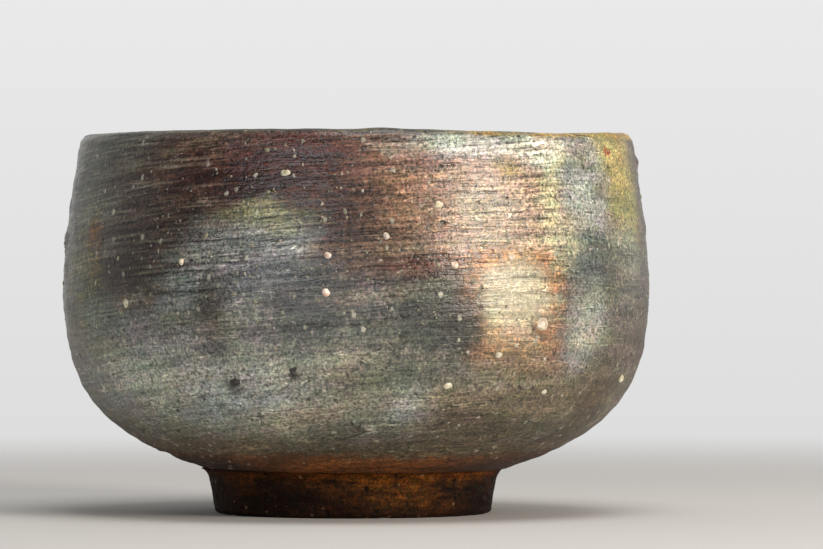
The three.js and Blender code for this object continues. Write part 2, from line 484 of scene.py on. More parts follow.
# each mark: azimuth and height of its middle, half width and half height in mm
fireMarks = [
    # broad grounds of the front, left to right
    {"at": (-60, 70), "size": (23, 11), "color": "#404034", "soft": 0.6},
    {"at": (-68, 50), "size": (9, 13), "color": "#5a5534", "soft": 0.7},
    # painted shade: the left edge darkened against the light grazing it from behind
    {"at": (-82, 64), "size": (12, 10), "color": "#3a3726", "soft": 0.8},
    {"at": (-62, 56.5), "size": (2.6, 2.4), "color": "#74480f", "soft": 1.0},
    {"at": (-60, 50), "size": (2.6, 3.0), "color": "#6d5c1d", "soft": 1.0},
    {"at": (-10, 69), "size": (41, 10), "color": "#431b13", "soft": 0.5},
    {"at": (-43, 56), "size": (16, 10), "color": "#38271f", "soft": 0.6},
    {"at": (1, 57), "size": (14, 9), "color": "#473327", "soft": 0.7},
    # partly the ground's own tan, partly a painted sheen where the key light's highlight starts
    {"at": (13, 66), "size": (14, 11), "color": "#80624e", "soft": 0.7},
    {"at": (-5, 62), "size": (8, 4.2), "color": "#38221a", "soft": 0.9},
    # partly pale ash, partly a painted sheen: lightened to stand for the broad highlight on the upper right
    {"at": (31, 60), "size": (13, 14), "color": "#ab9079", "soft": 0.7},
    {"at": (-57, 40), "size": (9, 4), "color": "#485647", "soft": 0.7},
    {"at": (-47, 53), "size": (7, 4.5), "color": "#2a1e15", "soft": 0.8, "strength": 0.8},
    # the cool grey cloud with its green fringe and brown halo
    {"at": (-23, 47.5), "size": (16, 10.5), "color": "#777975", "soft": 0.45},
    {"at": (-16, 54), "size": (8.5, 7.5), "color": "#777975", "soft": 0.45},
    {"at": (-17, 66.4), "size": (19, 4.6), "color": "#2c1205", "soft": 0.7},
    {"at": (-31, 75.2), "size": (9, 2.0), "color": "#5c4a3e", "soft": 0.9, "strength": 0.7},
    {"at": (-17, 60.5), "size": (8, 2.6), "color": "#7c7959", "soft": 0.8},
    {"at": (-23, 30), "size": (50, 12), "color": "#797a6d", "soft": 0.5},
    {"at": (-32, 27), "size": (30, 7), "color": "#999b90", "soft": 0.8, "strength": 0.85},
    {"at": (4, 29), "size": (13, 7), "color": "#5f5c4e", "soft": 1.0, "strength": 0.8},
    {"at": (-14, 19), "size": (12, 3), "color": "#98927b", "soft": 0.9, "strength": 0.7},
    {"at": (-28, 41), "size": (3, 7), "color": "#3c3125", "soft": 1.0, "strength": 0.75},
    {"at": (-10, 43), "size": (8, 8), "color": "#302f29", "soft": 1.0, "strength": 0.85},
    # charcoal and plum left of the window
    {"at": (14.5, 40), "size": (10, 8.5), "color": "#3a3b36", "soft": 0.7},
    {"at": (3.5, 44), "size": (4, 5), "color": "#5f5c54", "soft": 0.9},
    {"at": (12, 50.6), "size": (8, 1.8), "color": "#4f2b26", "soft": 0.9},
    # the pale window of bare clay, which something shielded from the ash
    {"at": (31.6, 42), "size": (10.9, 11.6), "color": "#6c503c", "soft": 0.35, "square": True},
    {"at": (31.4, 43.3), "size": (9.6, 10.2), "color": "#957553", "soft": 0.5, "square": True},
    {"at": (31.6, 44.4), "size": (6.2, 7.4), "color": "#b5ab90", "soft": 0.7, "square": True},
    {"at": (20.5, 38.6), "size": (4.0, 5.8), "color": "#332f29", "soft": 0.8},
    {"at": (5, 36), "size": (5, 4), "color": "#4c4b42", "soft": 0.9},
    {"at": (31.0, 51.8), "size": (10, 1.9), "color": "#9b6d3c", "soft": 0.9, "strength": 0.9},
    {"at": (39.8, 50.0), "size": (2.8, 3.6), "color": "#95603f", "soft": 0.9, "strength": 0.85},
    {"at": (38, 31.0), "size": (10, 3.2), "color": "#75624c", "soft": 0.9},
    # bright ash near the rim on the right, and a painted highlight along the rim there
    # pale ash with a painted highlight along the rim
    {"at": (30, 75.2), "size": (18, 2.2), "color": "#a9a89b", "soft": 0.8},
    # partly yellow ash, partly a painted highlight along the rim
    {"at": (63, 74.5), "size": (9, 3.0), "color": "#cdc087", "soft": 0.9},
    {"at": (42.5, 65), "size": (3.0, 12), "color": "#b8b48e", "soft": 1.0, "strength": 0.8},
    {"at": (47, 56), "size": (6, 5), "color": "#a7a386", "soft": 0.9},
    {"at": (53, 66), "size": (8, 10), "color": "#989a96", "soft": 0.5},
    # painted highlight on the rim band, over pale ash
    {"at": (41, 73.5), "size": (7, 2.2), "color": "#c4c0ab", "soft": 0.9},
    {"at": (52, 71), "size": (3.6, 2.8), "color": "#55543a", "soft": 1.0, "strength": 0.8},
    {"at": (57, 66), "size": (2.8, 2.2), "color": "#5a583a", "soft": 1.0, "strength": 0.8},
    {"at": (68, 67), "size": (8, 12), "color": "#9c9154", "soft": 0.7},
    {"at": (66, 53), "size": (7, 6), "color": "#8b8c78", "soft": 0.9},
    {"at": (63, 73.6), "size": (1.3, 1.0), "color": "#9a4608", "soft": 0.5},
    {"at": (88, 71), "size": (6, 3.5), "color": "#5e443c", "soft": 0.8},
    {"at": (31, 70.5), "size": (2.2, 2.8), "color": "#8a7a2c", "soft": 1.1, "strength": 0.8},
    {"at": (52, 51), "size": (9, 7), "color": "#4f5350", "soft": 0.7},
    {"at": (65, 41), "size": (16, 10), "color": "#5b584d", "soft": 0.7},
    {"at": (50.5, 38.5), "size": (6, 7), "color": "#9ca093", "soft": 0.9, "strength": 0.85},
    {"at": (77, 38), "size": (8, 9), "color": "#54463a", "soft": 0.8},
    {"at": (40, 23.5), "size": (28, 5), "color": "#645b45", "soft": 0.8},
    {"at": (61, 24), "size": (9, 7), "color": "#473b29", "soft": 0.9},
    {"at": (-19, 24.5), "size": (6, 3), "color": "#a6a79b", "soft": 0.9},
    {"at": (-28, 15.0), "size": (6, 2.2), "color": "#857a5e", "soft": 0.9, "strength": 0.7},
    {"at": (28, 18.5), "size": (11, 3), "color": "#4c4232", "soft": 0.9, "strength": 0.8},
    {"at": (11, 24), "size": (4.4, 3), "color": "#8a8c84", "soft": 1.0, "strength": 0.8},
    {"at": (-3, 17.5), "size": (7, 3), "color": "#4c4a40", "soft": 1.0, "strength": 0.7},
    # the far side, which the flame reached last
    {"at": (122, 58), "size": (27, 13), "color": "#573930", "soft": 0.5},
    {"at": (150, 40), "size": (26, 12), "color": "#6c6e65", "soft": 0.45},
    {"at": (150, 52), "size": (15, 4), "color": "#77744f", "soft": 0.8},
    {"at": (-150, 60), "size": (22, 12), "color": "#4a332a", "soft": 0.5},
    {"at": (-125, 38), "size": (20, 12), "color": "#66685c", "soft": 0.5},
    {"at": (-110, 62), "size": (14, 9), "color": "#53523a", "soft": 0.6},
    {"at": (176, 64), "size": (18, 6), "color": "#83694c", "soft": 1.0},
    # a painted shadow, brown, round the big grain; soot round the slag
    {"at": (37.2, 38.6), "size": (2.3, 2.1), "color": "#704a2c", "soft": 0.5},
    {"at": (-25, 27.5), "size": (1.7, 1.5), "color": "#2e2c27", "soft": 0.9},
    {"at": (-12.3, 29.6), "size": (1.3, 1.2), "color": "#2e2c27", "soft": 0.9},
]

bareWindow = {"at": (32.0, 45.0), "size": (6.0, 7.5), "color": "#bab195", "soft": 0.9, "strength": 0.55}

skirtMarks = [  # low rings of colour, from the top to the bottom of each fade, in mm
    {"from": 18.0, "to": 13.2, "color": "#60523a", "strength": 0.8},
    {"from": 13.8, "to": 11.8, "color": "#7a430d", "strength": 0.95},
    {"from": 11.0, "to": 9.6, "color": "#5a300a", "strength": 0.5},
]

skin = {
    "streakPitch": 0.55,      # mm between scraping lines
    "streakLength": 13.0,     # mm that a line runs on
    "lean": (-0.06, 0.07),    # the bowl was scraped on a slightly tilted axis, per mm of x and y
    "grit": 0.55,             # mm, sand under the ash
    "speck": 0.8,             # mm between the finest specks
    "fleck": 1.9,             # mm between feldspar flecks
    "darkFleck": 2.6,
    "wander": 3.0,            # mm that the fire marks' edges wander
    # scorch, and painted shade on the sides of the low skirt
    "scorchAndShade": "#1c0e07",
    "pool": "#585c45",        # ash in the tea well
    "ashGreen": "#5d6248",
    "ashGrey": "#7b7868",
    "fleckDull": "#7f7e6c",
    "fleckPale": "#c6c0aa",
    "soot": "#1f1b16",
}


def unrolled(tree, lean):
    # millimetre places: the point itself, and the same point rolled out on the wall's cylinder
    place = (addNode(tree, "TexCoord"), "Object")
    inMm = addNode(tree, "VectorMath", {0: place, 1: (1000, 1000, 1000)}, operation="MULTIPLY")
    flat = addNode(tree, "VectorMath", {0: inMm, 1: (1, 1, 0)}, operation="MULTIPLY")
    # under the foot and in the well it lies flat instead
    reach = addNode(tree, "VectorMath", {0: flat}, operation="LENGTH")
    stretch = addNode(tree, "Math", {
        0: rollRadius, 1: addNode(tree, "Math", {0: reach, 1: rollRadius / 2}, operation="MAXIMUM"),
    }, operation="DIVIDE")
    ring = addNode(tree, "VectorMath", {0: flat, 3: stretch}, operation="SCALE")
    up = addNode(tree, "VectorMath", {0: inMm, 1: (0, 0, 1)}, operation="MULTIPLY")
    wall = addNode(tree, "VectorMath", {0: ring, 1: up}, operation="ADD")
    lift = addNode(tree, "VectorMath", {0: wall, 1: (*lean, 0)}, operation="DOT_PRODUCT")
    raised = addNode(tree, "CombineXYZ", {2: lift})
    tilted = addNode(tree, "VectorMath", {0: wall, 1: raised}, operation="ADD")
    return inMm, wall, tilted


def noiseAt(tree, place, size, detail=2.0, rough=0.5, shift=0.0):
    # size is the noise's grain, one number or (x, y, z), in mm
    sizes = size if isinstance(size, tuple) else (size,) * 3
    scaled = addNode(tree, "VectorMath", {
        0: place, 1: tuple(1 / s for s in sizes), 2: (shift,) * 3,
    }, operation="MULTIPLY_ADD")
    return addNode(tree, "TexNoise", {
        "Vector": scaled, "Scale": 1.0, "Detail": detail, "Roughness": rough,
    })


def tinge(tree, color, source, amount):
    # drifts a colour's hue by a coloured noise
    gain = addNode(tree, "VectorMath", {
        0: (source, "Color"), 1: (amount,) * 3, 2: (1 - amount / 2,) * 3,
    }, operation="MULTIPLY_ADD")
    return addNode(tree, "VectorMath", {0: color, 1: gain}, operation="MULTIPLY")


def layMark(tree, under, place, ragged, mark):
    across, up = mark["size"]
    centre = onWall(*mark["at"], rollRadius)
    away = addNode(tree, "VectorMath", {0: place, 1: centre}, operation="SUBTRACT")
    reach = addNode(tree, "VectorMath", {0: away, 1: (1 / across, 1 / across, 1 / up)}, operation="MULTIPLY")
    if mark.get("square"):
        reach = addNode(tree, "VectorMath", {0: reach, 1: reach}, operation="MULTIPLY")
    distance = addNode(tree, "VectorMath", {0: reach}, operation="LENGTH")
    edge = addNode(tree, "Math", {0: ragged, 1: mark["soft"], 2: distance}, operation="MULTIPLY_ADD")
    mask = addNode(tree, "MapRange", {
        0: edge, 1: 1 + mark["soft"], 2: 1 - mark["soft"], 3: 0.0, 4: mark.get("strength", 0.92),
    }, interpolation_type="SMOOTHSTEP")
    return addNode(tree, "Mix", {0: mask, 6: under, 7: hexColor(mark["color"])}, data_type="RGBA")


def flecks(tree, place, spacing, radius, shift, tall=1.0):
    # scattered grains of every size up to radius: a mask, and each grain's own random value
    scaled = addNode(tree, "VectorMath", {
        0: place, 1: (1 / spacing, 1 / spacing, 1 / spacing / tall), 2: (shift,) * 3,
    }, operation="MULTIPLY_ADD")
    cells = addNode(tree, "TexVoronoi", {"Vector": scaled, "Scale": 1.0})
    own = addNode(tree, "SeparateColor", {0: (cells, "Color")})
    size = addNode(tree, "Math", {0: (own, 0), 1: 2.0}, operation="POWER")
    size = addNode(tree, "Math", {0: size, 1: radius / spacing}, operation="MULTIPLY")
    inner = addNode(tree, "Math", {0: size, 1: 0.4}, operation="MULTIPLY")
    mask = addNode(tree, "MapRange", {
        0: (cells, "Distance"), 1: size, 2: inner,
    }, interpolation_type="SMOOTHSTEP")
    return mask, (own, 1)


def woodFiredStoneware():
    # coarse stoneware from a wood kiln, unglazed: drifting ash melted to a thin uneven skin,
    # which gives a broken satin shine, cloudy flame colours and dry scraping lines
    material, tree = newMaterial("woodFiredStoneware")
    point, wall, tilted = unrolled(tree, skin["lean"])
    height = (addNode(tree, "SeparateXYZ", {0: point}), 2)
    long, pitch = skin["streakLength"], skin["streakPitch"]

    cloud = noiseAt(tree, wall, 14.0, detail=3)
    slow = noiseAt(tree, wall, 34.0, detail=1, shift=6.0)
    sway = addNode(tree, "VectorMath", {0: (slow, "Color"), 1: (0, 0, 2.2)}, operation="MULTIPLY")
    combed = addNode(tree, "VectorMath", {0: tilted, 1: sway}, operation="ADD")
    drift = addNode(tree, "VectorMath", {0: (cloud, "Color"), 1: (0.5, 0.5, 0.5)}, operation="SUBTRACT")
    wanderBy = addNode(tree, "VectorMath", {0: drift, 3: skin["wander"] * 2.0}, operation="SCALE")
    wandered = addNode(tree, "VectorMath", {0: wall, 1: wanderBy}, operation="ADD")

    streak = noiseAt(tree, combed, (long, long, pitch), detail=2.0, rough=0.6)
    line = noiseAt(tree, combed, (long * 1.6, long * 1.6, pitch * 2.4), detail=1.0, shift=4.7)
    hairline = noiseAt(tree, combed, (long * 1.3, long * 1.3, pitch * 3.1), detail=0.0, shift=14.1)
    band = noiseAt(tree, combed, (long * 2, long * 2, pitch * 6), detail=2, shift=2.7)
    bark = noiseAt(tree, combed, (1.5, 1.5, 0.55), detail=2.0, rough=0.6, shift=8.3)
    grit = noiseAt(tree, point, skin["grit"], detail=1.5, rough=0.7)
    sand = noiseAt(tree, point, skin["grit"] * 2.6, detail=2, rough=0.6, shift=3.3)
    mottle = noiseAt(tree, wall, (6.0, 6.0, 4.0), detail=4, rough=0.65, shift=9.1)

    panel = addNode(tree, "VectorMath", {0: wandered, 1: towards(64)}, operation="DOT_PRODUCT")
    scraped = addNode(tree, "Math", {
        0: addNode(tree, "MapRange", {
            0: height, 1: 30.0, 2: 52.0, 3: 0.4, 4: 1.0,
        }, interpolation_type="SMOOTHSTEP"),
        1: addNode(tree, "MapRange", {
            0: panel, 1: 0.91, 2: 0.97, 3: 1.0, 4: 0.3,
        }, interpolation_type="SMOOTHSTEP"),
    }, operation="MULTIPLY")

    ragged = addNode(tree, "MapRange", {0: band, 1: 0, 2: 1, 3: -0.7, 4: 0.7}, clamp=False)
    ragged = addNode(tree, "Math", {0: sand, 1: 1.1, 2: ragged}, operation="MULTIPLY_ADD")
    ragged = addNode(tree, "Math", {0: mottle, 1: 1.4, 2: ragged}, operation="MULTIPLY_ADD")
    ragged = addNode(tree, "Math", {0: ragged, 1: -1.25}, operation="ADD")

    color = addNode(tree, "ValToRGB", {
        0: mottle,
    }, stops=[(0.3, "#3d3329"), (0.72, "#706b56"), (0.48, "#544b3c"), (0.6, "#626256")])

    for mark in fireMarks:
        color = layMark(tree, color, wandered, ragged, mark)
    lowRagged = addNode(tree, "Math", {0: ragged, 1: 2.2, 2: height}, operation="MULTIPLY_ADD")
    for ring in skirtMarks:
        mask = addNode(tree, "MapRange", {
            0: lowRagged, 1: ring["from"], 2: ring["to"], 3: 0.0, 4: ring["strength"],
        }, interpolation_type="SMOOTHSTEP")
        color = addNode(tree, "Mix", {0: mask, 6: color, 7: hexColor(ring["color"])}, data_type="RGBA")
    # the low skirt darkens towards its sides, away from the front: partly flame scorch, partly painted shade
    facing = addNode(tree, "VectorMath", {0: wall, 1: towards(-1)}, operation="DOT_PRODUCT")
    scorchedAndShaded = addNode(tree, "Math", {
        0: addNode(tree, "MapRange", {0: facing, 1: 0.98, 2: 0.7, 3: 0.0, 4: 0.8}),
        1: addNode(tree, "MapRange", {0: lowRagged, 1: 14.0, 2: 11.5, 3: 0.0, 4: 1.0}),
    }, operation="MULTIPLY")
    color = addNode(tree, "Mix", {0: scorchedAndShaded, 6: color, 7: hexColor(skin["scorchAndShade"])}, data_type="RGBA")

    # inside, where the ash ran thinner and pooled in the well
    inner = (addNode(tree, "Attribute", attribute_name="inside"), "Fac")
    lining = addNode(tree, "ValToRGB", {
        0: noiseAt(tree, point, 11.0, detail=5, rough=0.6, shift=3.0),
    }, stops=[(0.32, "#43342a"), (0.7, "#7a735e"), (0.5, "#5c4d3e")])
    pooled = addNode(tree, "MapRange", {
        0: height, 1: 24.0, 2: 13.5, 3: 0.0, 4: 0.6,
    }, interpolation_type="SMOOTHSTEP")
    lining = addNode(tree, "Mix", {0: pooled, 6: lining, 7: hexColor(skin["pool"])}, data_type="RGBA")
    color = addNode(tree, "Mix", {0: inner, 6: color, 7: lining}, data_type="RGBA")

    # the lip, where melted ash gathers from dark olive to amber
    lipSide = addNode(tree, "VectorMath", {0: wall, 1: towards(75)}, operation="DOT_PRODUCT")
    lipHeight = addNode(tree, "Math", {
        0: mottle, 1: 1.6,
        2: addNode(tree, "Math", {0: lipSide, 1: 0.8, 2: height}, operation="MULTIPLY_ADD"),
    }, operation="MULTIPLY_ADD")
    lip = addNode(tree, "MapRange", {
        0: lipHeight, 1: 77.5, 2: 78.4, 3: 0.0, 4: 0.8,
    }, interpolation_type="SMOOTHSTEP")
    amber = addNode(tree, "Math", {
        0: lipSide, 1: 0.5, 2: addNode(tree, "Math", {0: cloud, 1: 0.45}, operation="MULTIPLY"),
    }, operation="MULTIPLY_ADD")
    lipColor = addNode(tree, "ValToRGB", {
        0: amber,
    }, stops=[(0.4, "#35311f"), (0.63, "#a8862e"), (0.55, "#5d5026")])
    color = addNode(tree, "Mix", {0: lip, 6: color, 7: lipColor}, data_type="RGBA")

    # hue drift from fist-sized clouds down to single grains, then light and dark along the scraping
    for source, amount in ((cloud, 0.25), (mottle, 0.35), (band, 0.3), (sand, 0.3), (grit, 0.25)):
        color = tinge(tree, color, source, amount)
    for source, low, high in ((band, 0.72, 1.28), (sand, 0.72, 1.28), (grit, 0.35, 1.7)):
        color = addNode(tree, "VectorMath", {
            0: color, 3: addNode(tree, "MapRange", {0: source, 1: 0.3, 2: 0.7, 3: low, 4: high}),
        }, operation="SCALE")
    combing = addNode(tree, "Math", {
        0: addNode(tree, "MapRange", {0: streak, 1: 0.3, 2: 0.7, 3: -0.75, 4: 0.75}),
        1: addNode(tree, "MapRange", {0: bark, 1: 0.3, 2: 0.7, 3: -0.35, 4: 0.35}),
    }, operation="ADD")
    color = addNode(tree, "VectorMath", {
        0: color, 3: addNode(tree, "Math", {0: combing, 1: scraped, 2: 1.0}, operation="MULTIPLY_ADD"),
    }, operation="SCALE")
    # nearly bare in the middle of the window, so the grain hardly shows
    color = layMark(tree, color, wandered, ragged, bareWindow)
    # ash dust, grey-green: caught on the scraping lines and in single grains, it shows on the dark grounds
    dust = addNode(tree, "Math", {
        0: addNode(tree, "MapRange", {0: streak, 1: 0.51, 2: 0.63, 3: 0.0, 4: 0.7}), 1: scraped,
    }, operation="MULTIPLY")
    dust = addNode(tree, "Math", {
        0: dust, 1: addNode(tree, "MapRange", {0: grit, 1: 0.6, 2: 0.76, 3: 0.0, 4: 0.7}),
    }, operation="ADD")
    dust = addNode(tree, "Math", {
        0: dust, 1: addNode(tree, "MapRange", {0: band, 1: 0.42, 2: 0.62, 3: 0.05, 4: 1.0}),
    }, operation="MULTIPLY")
    leeward = addNode(tree, "VectorMath", {0: wall, 1: towards(-75)}, operation="DOT_PRODUCT")
    dust = addNode(tree, "Math", {
        0: dust, 1: addNode(tree, "MapRange", {0: leeward, 1: 0.5, 2: 0.85, 3: 0.25, 4: 1.0}),
    }, operation="MULTIPLY")
    ash = addNode(tree, "Mix", {
        0: addNode(tree, "MapRange", {0: mottle, 1: 0.4, 2: 0.6, 3: 0.0, 4: 1.0}),
        6: hexColor(skin["ashGreen"]), 7: hexColor(skin["ashGrey"]),
    }, data_type="RGBA")
    color = addNode(tree, "Mix", {0: dust, 6: color, 7: ash}, data_type="RGBA", blend_type="LIGHTEN")
    # each scratch is a dark groove with a pale burr above it
    for source, low, high in ((line, 0.35, 0.58), (hairline, 0.62, 0.42)):
        groove = addNode(tree, "MapRange", {
            0: addNode(tree, "Math", {
                0: addNode(tree, "Math", {0: source, 1: 0.492}, operation="SUBTRACT"),
            }, operation="ABSOLUTE"),
            1: 0.0, 2: 0.012, 3: 0.35, 4: 1.0,
        })
        burr = addNode(tree, "MapRange", {
            0: addNode(tree, "Math", {
                0: addNode(tree, "Math", {0: source, 1: 0.512}, operation="SUBTRACT"),
            }, operation="ABSOLUTE"),
            1: 0.0, 2: 0.01, 3: 2.1, 4: 1.0,
        })
        share = addNode(tree, "MapRange", {0: cloud, 1: low, 2: high, 3: 0.1, 4: 1.0})
        scratch = addNode(tree, "Math", {0: groove, 1: burr}, operation="MULTIPLY")
        color = addNode(tree, "VectorMath", {
            0: color, 3: addNode(tree, "Mix", {0: share, 2: 1.0, 3: scratch}),
        }, operation="SCALE")

    tear = addNode(tree, "VectorMath", {0: (sand, "Color"), 3: 1.1}, operation="SCALE")
    torn = addNode(tree, "VectorMath", {0: point, 1: tear}, operation="ADD")
    speck, speckOwn = flecks(tree, torn, skin["speck"], 0.40, 1.0)
    pale, paleOwn = flecks(tree, torn, skin["fleck"], 0.7, 0.0, tall=1.3)
    dark, _ = flecks(tree, torn, skin["darkFleck"], 0.75, 5.3)
    paleColor = addNode(tree, "Mix", {
        0: paleOwn, 6: hexColor(skin["fleckDull"]), 7: hexColor(skin["fleckPale"]),
    }, data_type="RGBA")
    color = addNode(tree, "Mix", {
        0: addNode(tree, "Math", {0: pale, 1: 0.7}, operation="MULTIPLY"), 6: color, 7: paleColor,
    }, data_type="RGBA")
    speckTone = addNode(tree, "MapRange", {0: speckOwn, 1: 0.45, 2: 0.55, 3: 0.4, 4: 1.7})
    speckShare = addNode(tree, "Mix", {0: speck, 2: 1.0, 3: speckTone})
    color = addNode(tree, "VectorMath", {0: color, 3: speckShare}, operation="SCALE")
    color = addNode(tree, "Mix", {
        0: addNode(tree, "Math", {0: dark, 1: 0.8}, operation="MULTIPLY"), 6: color,
        7: hexColor(skin["soot"]),
    }, data_type="RGBA")

    # satin where the ash melted, drier on coarse patches and towards the foot
    gloss = addNode(tree, "MapRange", {0: mottle, 1: 0.3, 2: 0.7, 3: 0.24, 4: 0.38})
    gloss = addNode(tree, "Math", {
        0: gloss, 1: addNode(tree, "MapRange", {0: grit, 1: 0.3, 2: 0.7, 3: -0.06, 4: 0.1}),
    }, operation="ADD")
    roughness = addNode(tree, "Math", {
        0: gloss, 1: addNode(tree, "MapRange", {0: height, 1: 50.0, 2: 12.0, 3: 0.0, 4: 0.3}),
    }, operation="ADD")

    # relief in mm: scraping lines with torn edges, ledges, sand and grains that stand out
    relief = addNode(tree, "Math", {0: streak, 1: 0.11}, operation="MULTIPLY")
    relief = addNode(tree, "Math", {0: bark, 1: 0.14, 2: relief}, operation="MULTIPLY_ADD")
    relief = addNode(tree, "Math", {
        0: relief,
        1: addNode(tree, "MapRange", {
            0: line, 1: 0.485, 2: 0.515, 3: 0.0, 4: 0.06,
        }, interpolation_type="SMOOTHSTEP"),
    }, operation="ADD")
    relief = addNode(tree, "Math", {0: relief, 1: scraped}, operation="MULTIPLY")
    relief = addNode(tree, "Math", {0: grit, 1: 0.08, 2: relief}, operation="MULTIPLY_ADD")
    relief = addNode(tree, "Math", {0: sand, 1: 0.12, 2: relief}, operation="MULTIPLY_ADD")
    relief = addNode(tree, "Math", {0: pale, 1: 0.12, 2: relief}, operation="MULTIPLY_ADD")
    relief = addNode(tree, "Math", {0: dark, 1: -0.1, 2: relief}, operation="MULTIPLY_ADD")
    bump = addNode(tree, "Bump", {"Strength": 1.0, "Distance": mm, "Height": relief})
    finishMaterial(tree, color, roughness, bump, IOR=1.56)
    return material


footClay = {
    "shoulder": "#5c310b",
    # nearly black: burnt clay, and painted shade on the side away from the light and near the floor
    "burntAndShade": "#120703",
    "paleGrain": "#7d6248",
    "pit": "#0d0805",
}


def bareFootClay():
    # iron-bearing stoneware turned and left bare, burnt to umber by the flame:
    # dry, nearly black in the hollows, foxy brown on the shoulders; painted shade darkens it further on the
    # side away from the light and towards the floor
    material, tree = newMaterial("bareFootClay")
    point, wall, tilted = unrolled(tree, (0.0, 0.0))
    height = (addNode(tree, "SeparateXYZ", {0: point}), 2)
    streak = noiseAt(tree, tilted, (12.0, 12.0, 0.7), detail=3, rough=0.6)
    cloud = noiseAt(tree, wall, (14.0, 14.0, 5.0), detail=4, rough=0.6, shift=1.7)
    grit = noiseAt(tree, point, 0.45, detail=2, rough=0.7)
    sand = noiseAt(tree, point, 1.3, detail=2, rough=0.6, shift=5.0)
    color = addNode(tree, "ValToRGB", {
        0: cloud,
    }, stops=[(0.34, "#1f1008"), (0.68, "#523110"), (0.5, "#38200a")])
    ragged = addNode(tree, "Math", {0: cloud, 1: 5.0, 2: height}, operation="MULTIPLY_ADD")
    shoulder = addNode(tree, "MapRange", {
        0: ragged, 1: 8.6, 2: 11.6, 3: 0.0, 4: 0.7,
    }, interpolation_type="SMOOTHSTEP")
    color = addNode(tree, "Mix", {0: shoulder, 6: color, 7: hexColor(footClay["shoulder"])}, data_type="RGBA")
    # burnt clay and painted shade in one mask: nearly black on the side turned away from the lit right front,
    # and more so near the floor
    side = addNode(tree, "VectorMath", {0: wall, 1: towards(24)}, operation="DOT_PRODUCT")
    rising = addNode(tree, "Math", {0: height, 1: 0.03, 2: side}, operation="MULTIPLY_ADD")
    burntAndShade = addNode(tree, "MapRange", {
        0: rising, 1: 1.1, 2: 0.85, 3: 0.0, 4: 0.9,
    }, interpolation_type="SMOOTHSTEP")
    burntAndShade = addNode(tree, "Math", {
        0: burntAndShade,
        1: addNode(tree, "MapRange", {
            0: height, 1: 3.0, 2: 7.5, 3: 1.0, 4: 0.6,
        }, interpolation_type="SMOOTHSTEP"),
    }, operation="MULTIPLY")
    color = addNode(tree, "Mix", {0: burntAndShade, 6: color, 7: hexColor(footClay["burntAndShade"])}, data_type="RGBA")
    for source, amount in ((cloud, 0.5), (sand, 0.6), (grit, 0.5)):
        color = tinge(tree, color, source, amount)
    for source, low, high in ((streak, 0.5, 1.5), (sand, 0.55, 1.45), (grit, 0.35, 1.75)):
        color = addNode(tree, "VectorMath", {
            0: color, 3: addNode(tree, "MapRange", {0: source, 1: 0.3, 2: 0.7, 3: low, 4: high}),
        }, operation="SCALE")
    pale, _ = flecks(tree, point, 2.2, 0.6, 2.0)
    pit, _ = flecks(tree, point, 2.0, 0.8, 7.0)
    color = addNode(tree, "Mix", {
        0: addNode(tree, "Math", {0: pale, 1: 0.6}, operation="MULTIPLY"), 6: color,
        7: hexColor(footClay["paleGrain"]),
    }, data_type="RGBA")
    color = addNode(tree, "Mix", {
        0: addNode(tree, "Math", {0: pit, 1: 0.85}, operation="MULTIPLY"), 6: color,
        7: hexColor(footClay["pit"]),
    }, data_type="RGBA")
    rough = addNode(tree, "MapRange", {0: sand, 1: 0.3, 2: 0.7, 3: 0.5, 4: 0.85})
    relief = addNode(tree, "Math", {0: streak, 1: 0.14}, operation="MULTIPLY")
    relief = addNode(tree, "Math", {0: grit, 1: 0.16, 2: relief}, operation="MULTIPLY_ADD")
    relief = addNode(tree, "Math", {0: sand, 1: 0.3, 2: relief}, operation="MULTIPLY_ADD")
    relief = addNode(tree, "Math", {0: pit, 1: -0.22, 2: relief}, operation="MULTIPLY_ADD")
    bump = addNode(tree, "Bump", {"Strength": 1.0, "Distance": mm, "Height": relief})
    finishMaterial(tree, color, rough, bump, IOR=1.4, Specular_IOR_Level=0.12)
    return material


def grainMaterial(name, stops, spot, roughness, relief, ior):
    # a single mineral with stained patches of its own, spot mm across
    material, tree = newMaterial(name)
    point, _, _ = unrolled(tree, (0.0, 0.0))
    stain = noiseAt(tree, point, spot, detail=3, rough=0.6)
    own = noiseAt(tree, point, spot * 5, detail=0.0, shift=2.0)
    color = tinge(tree, addNode(tree, "ValToRGB", {0: stain}, stops=stops), own, 0.3)
    color = addNode(tree, "VectorMath", {
        0: color, 3: addNode(tree, "MapRange", {0: own, 1: 0.3, 2: 0.7, 3: 0.75, 4: 1.15}),
    }, operation="SCALE")
    height = addNode(tree, "Math", {0: stain, 1: relief}, operation="MULTIPLY")
    bump = addNode(tree, "Bump", {"Strength": 1.0, "Distance": mm, "Height": height})
    rough = addNode(tree, "MapRange", {0: stain, 1: 0.3, 2: 0.7, 3: roughness[0], 4: roughness[1]})
    finishMaterial(tree, color, rough, bump, IOR=ior)
    return material


# pieces

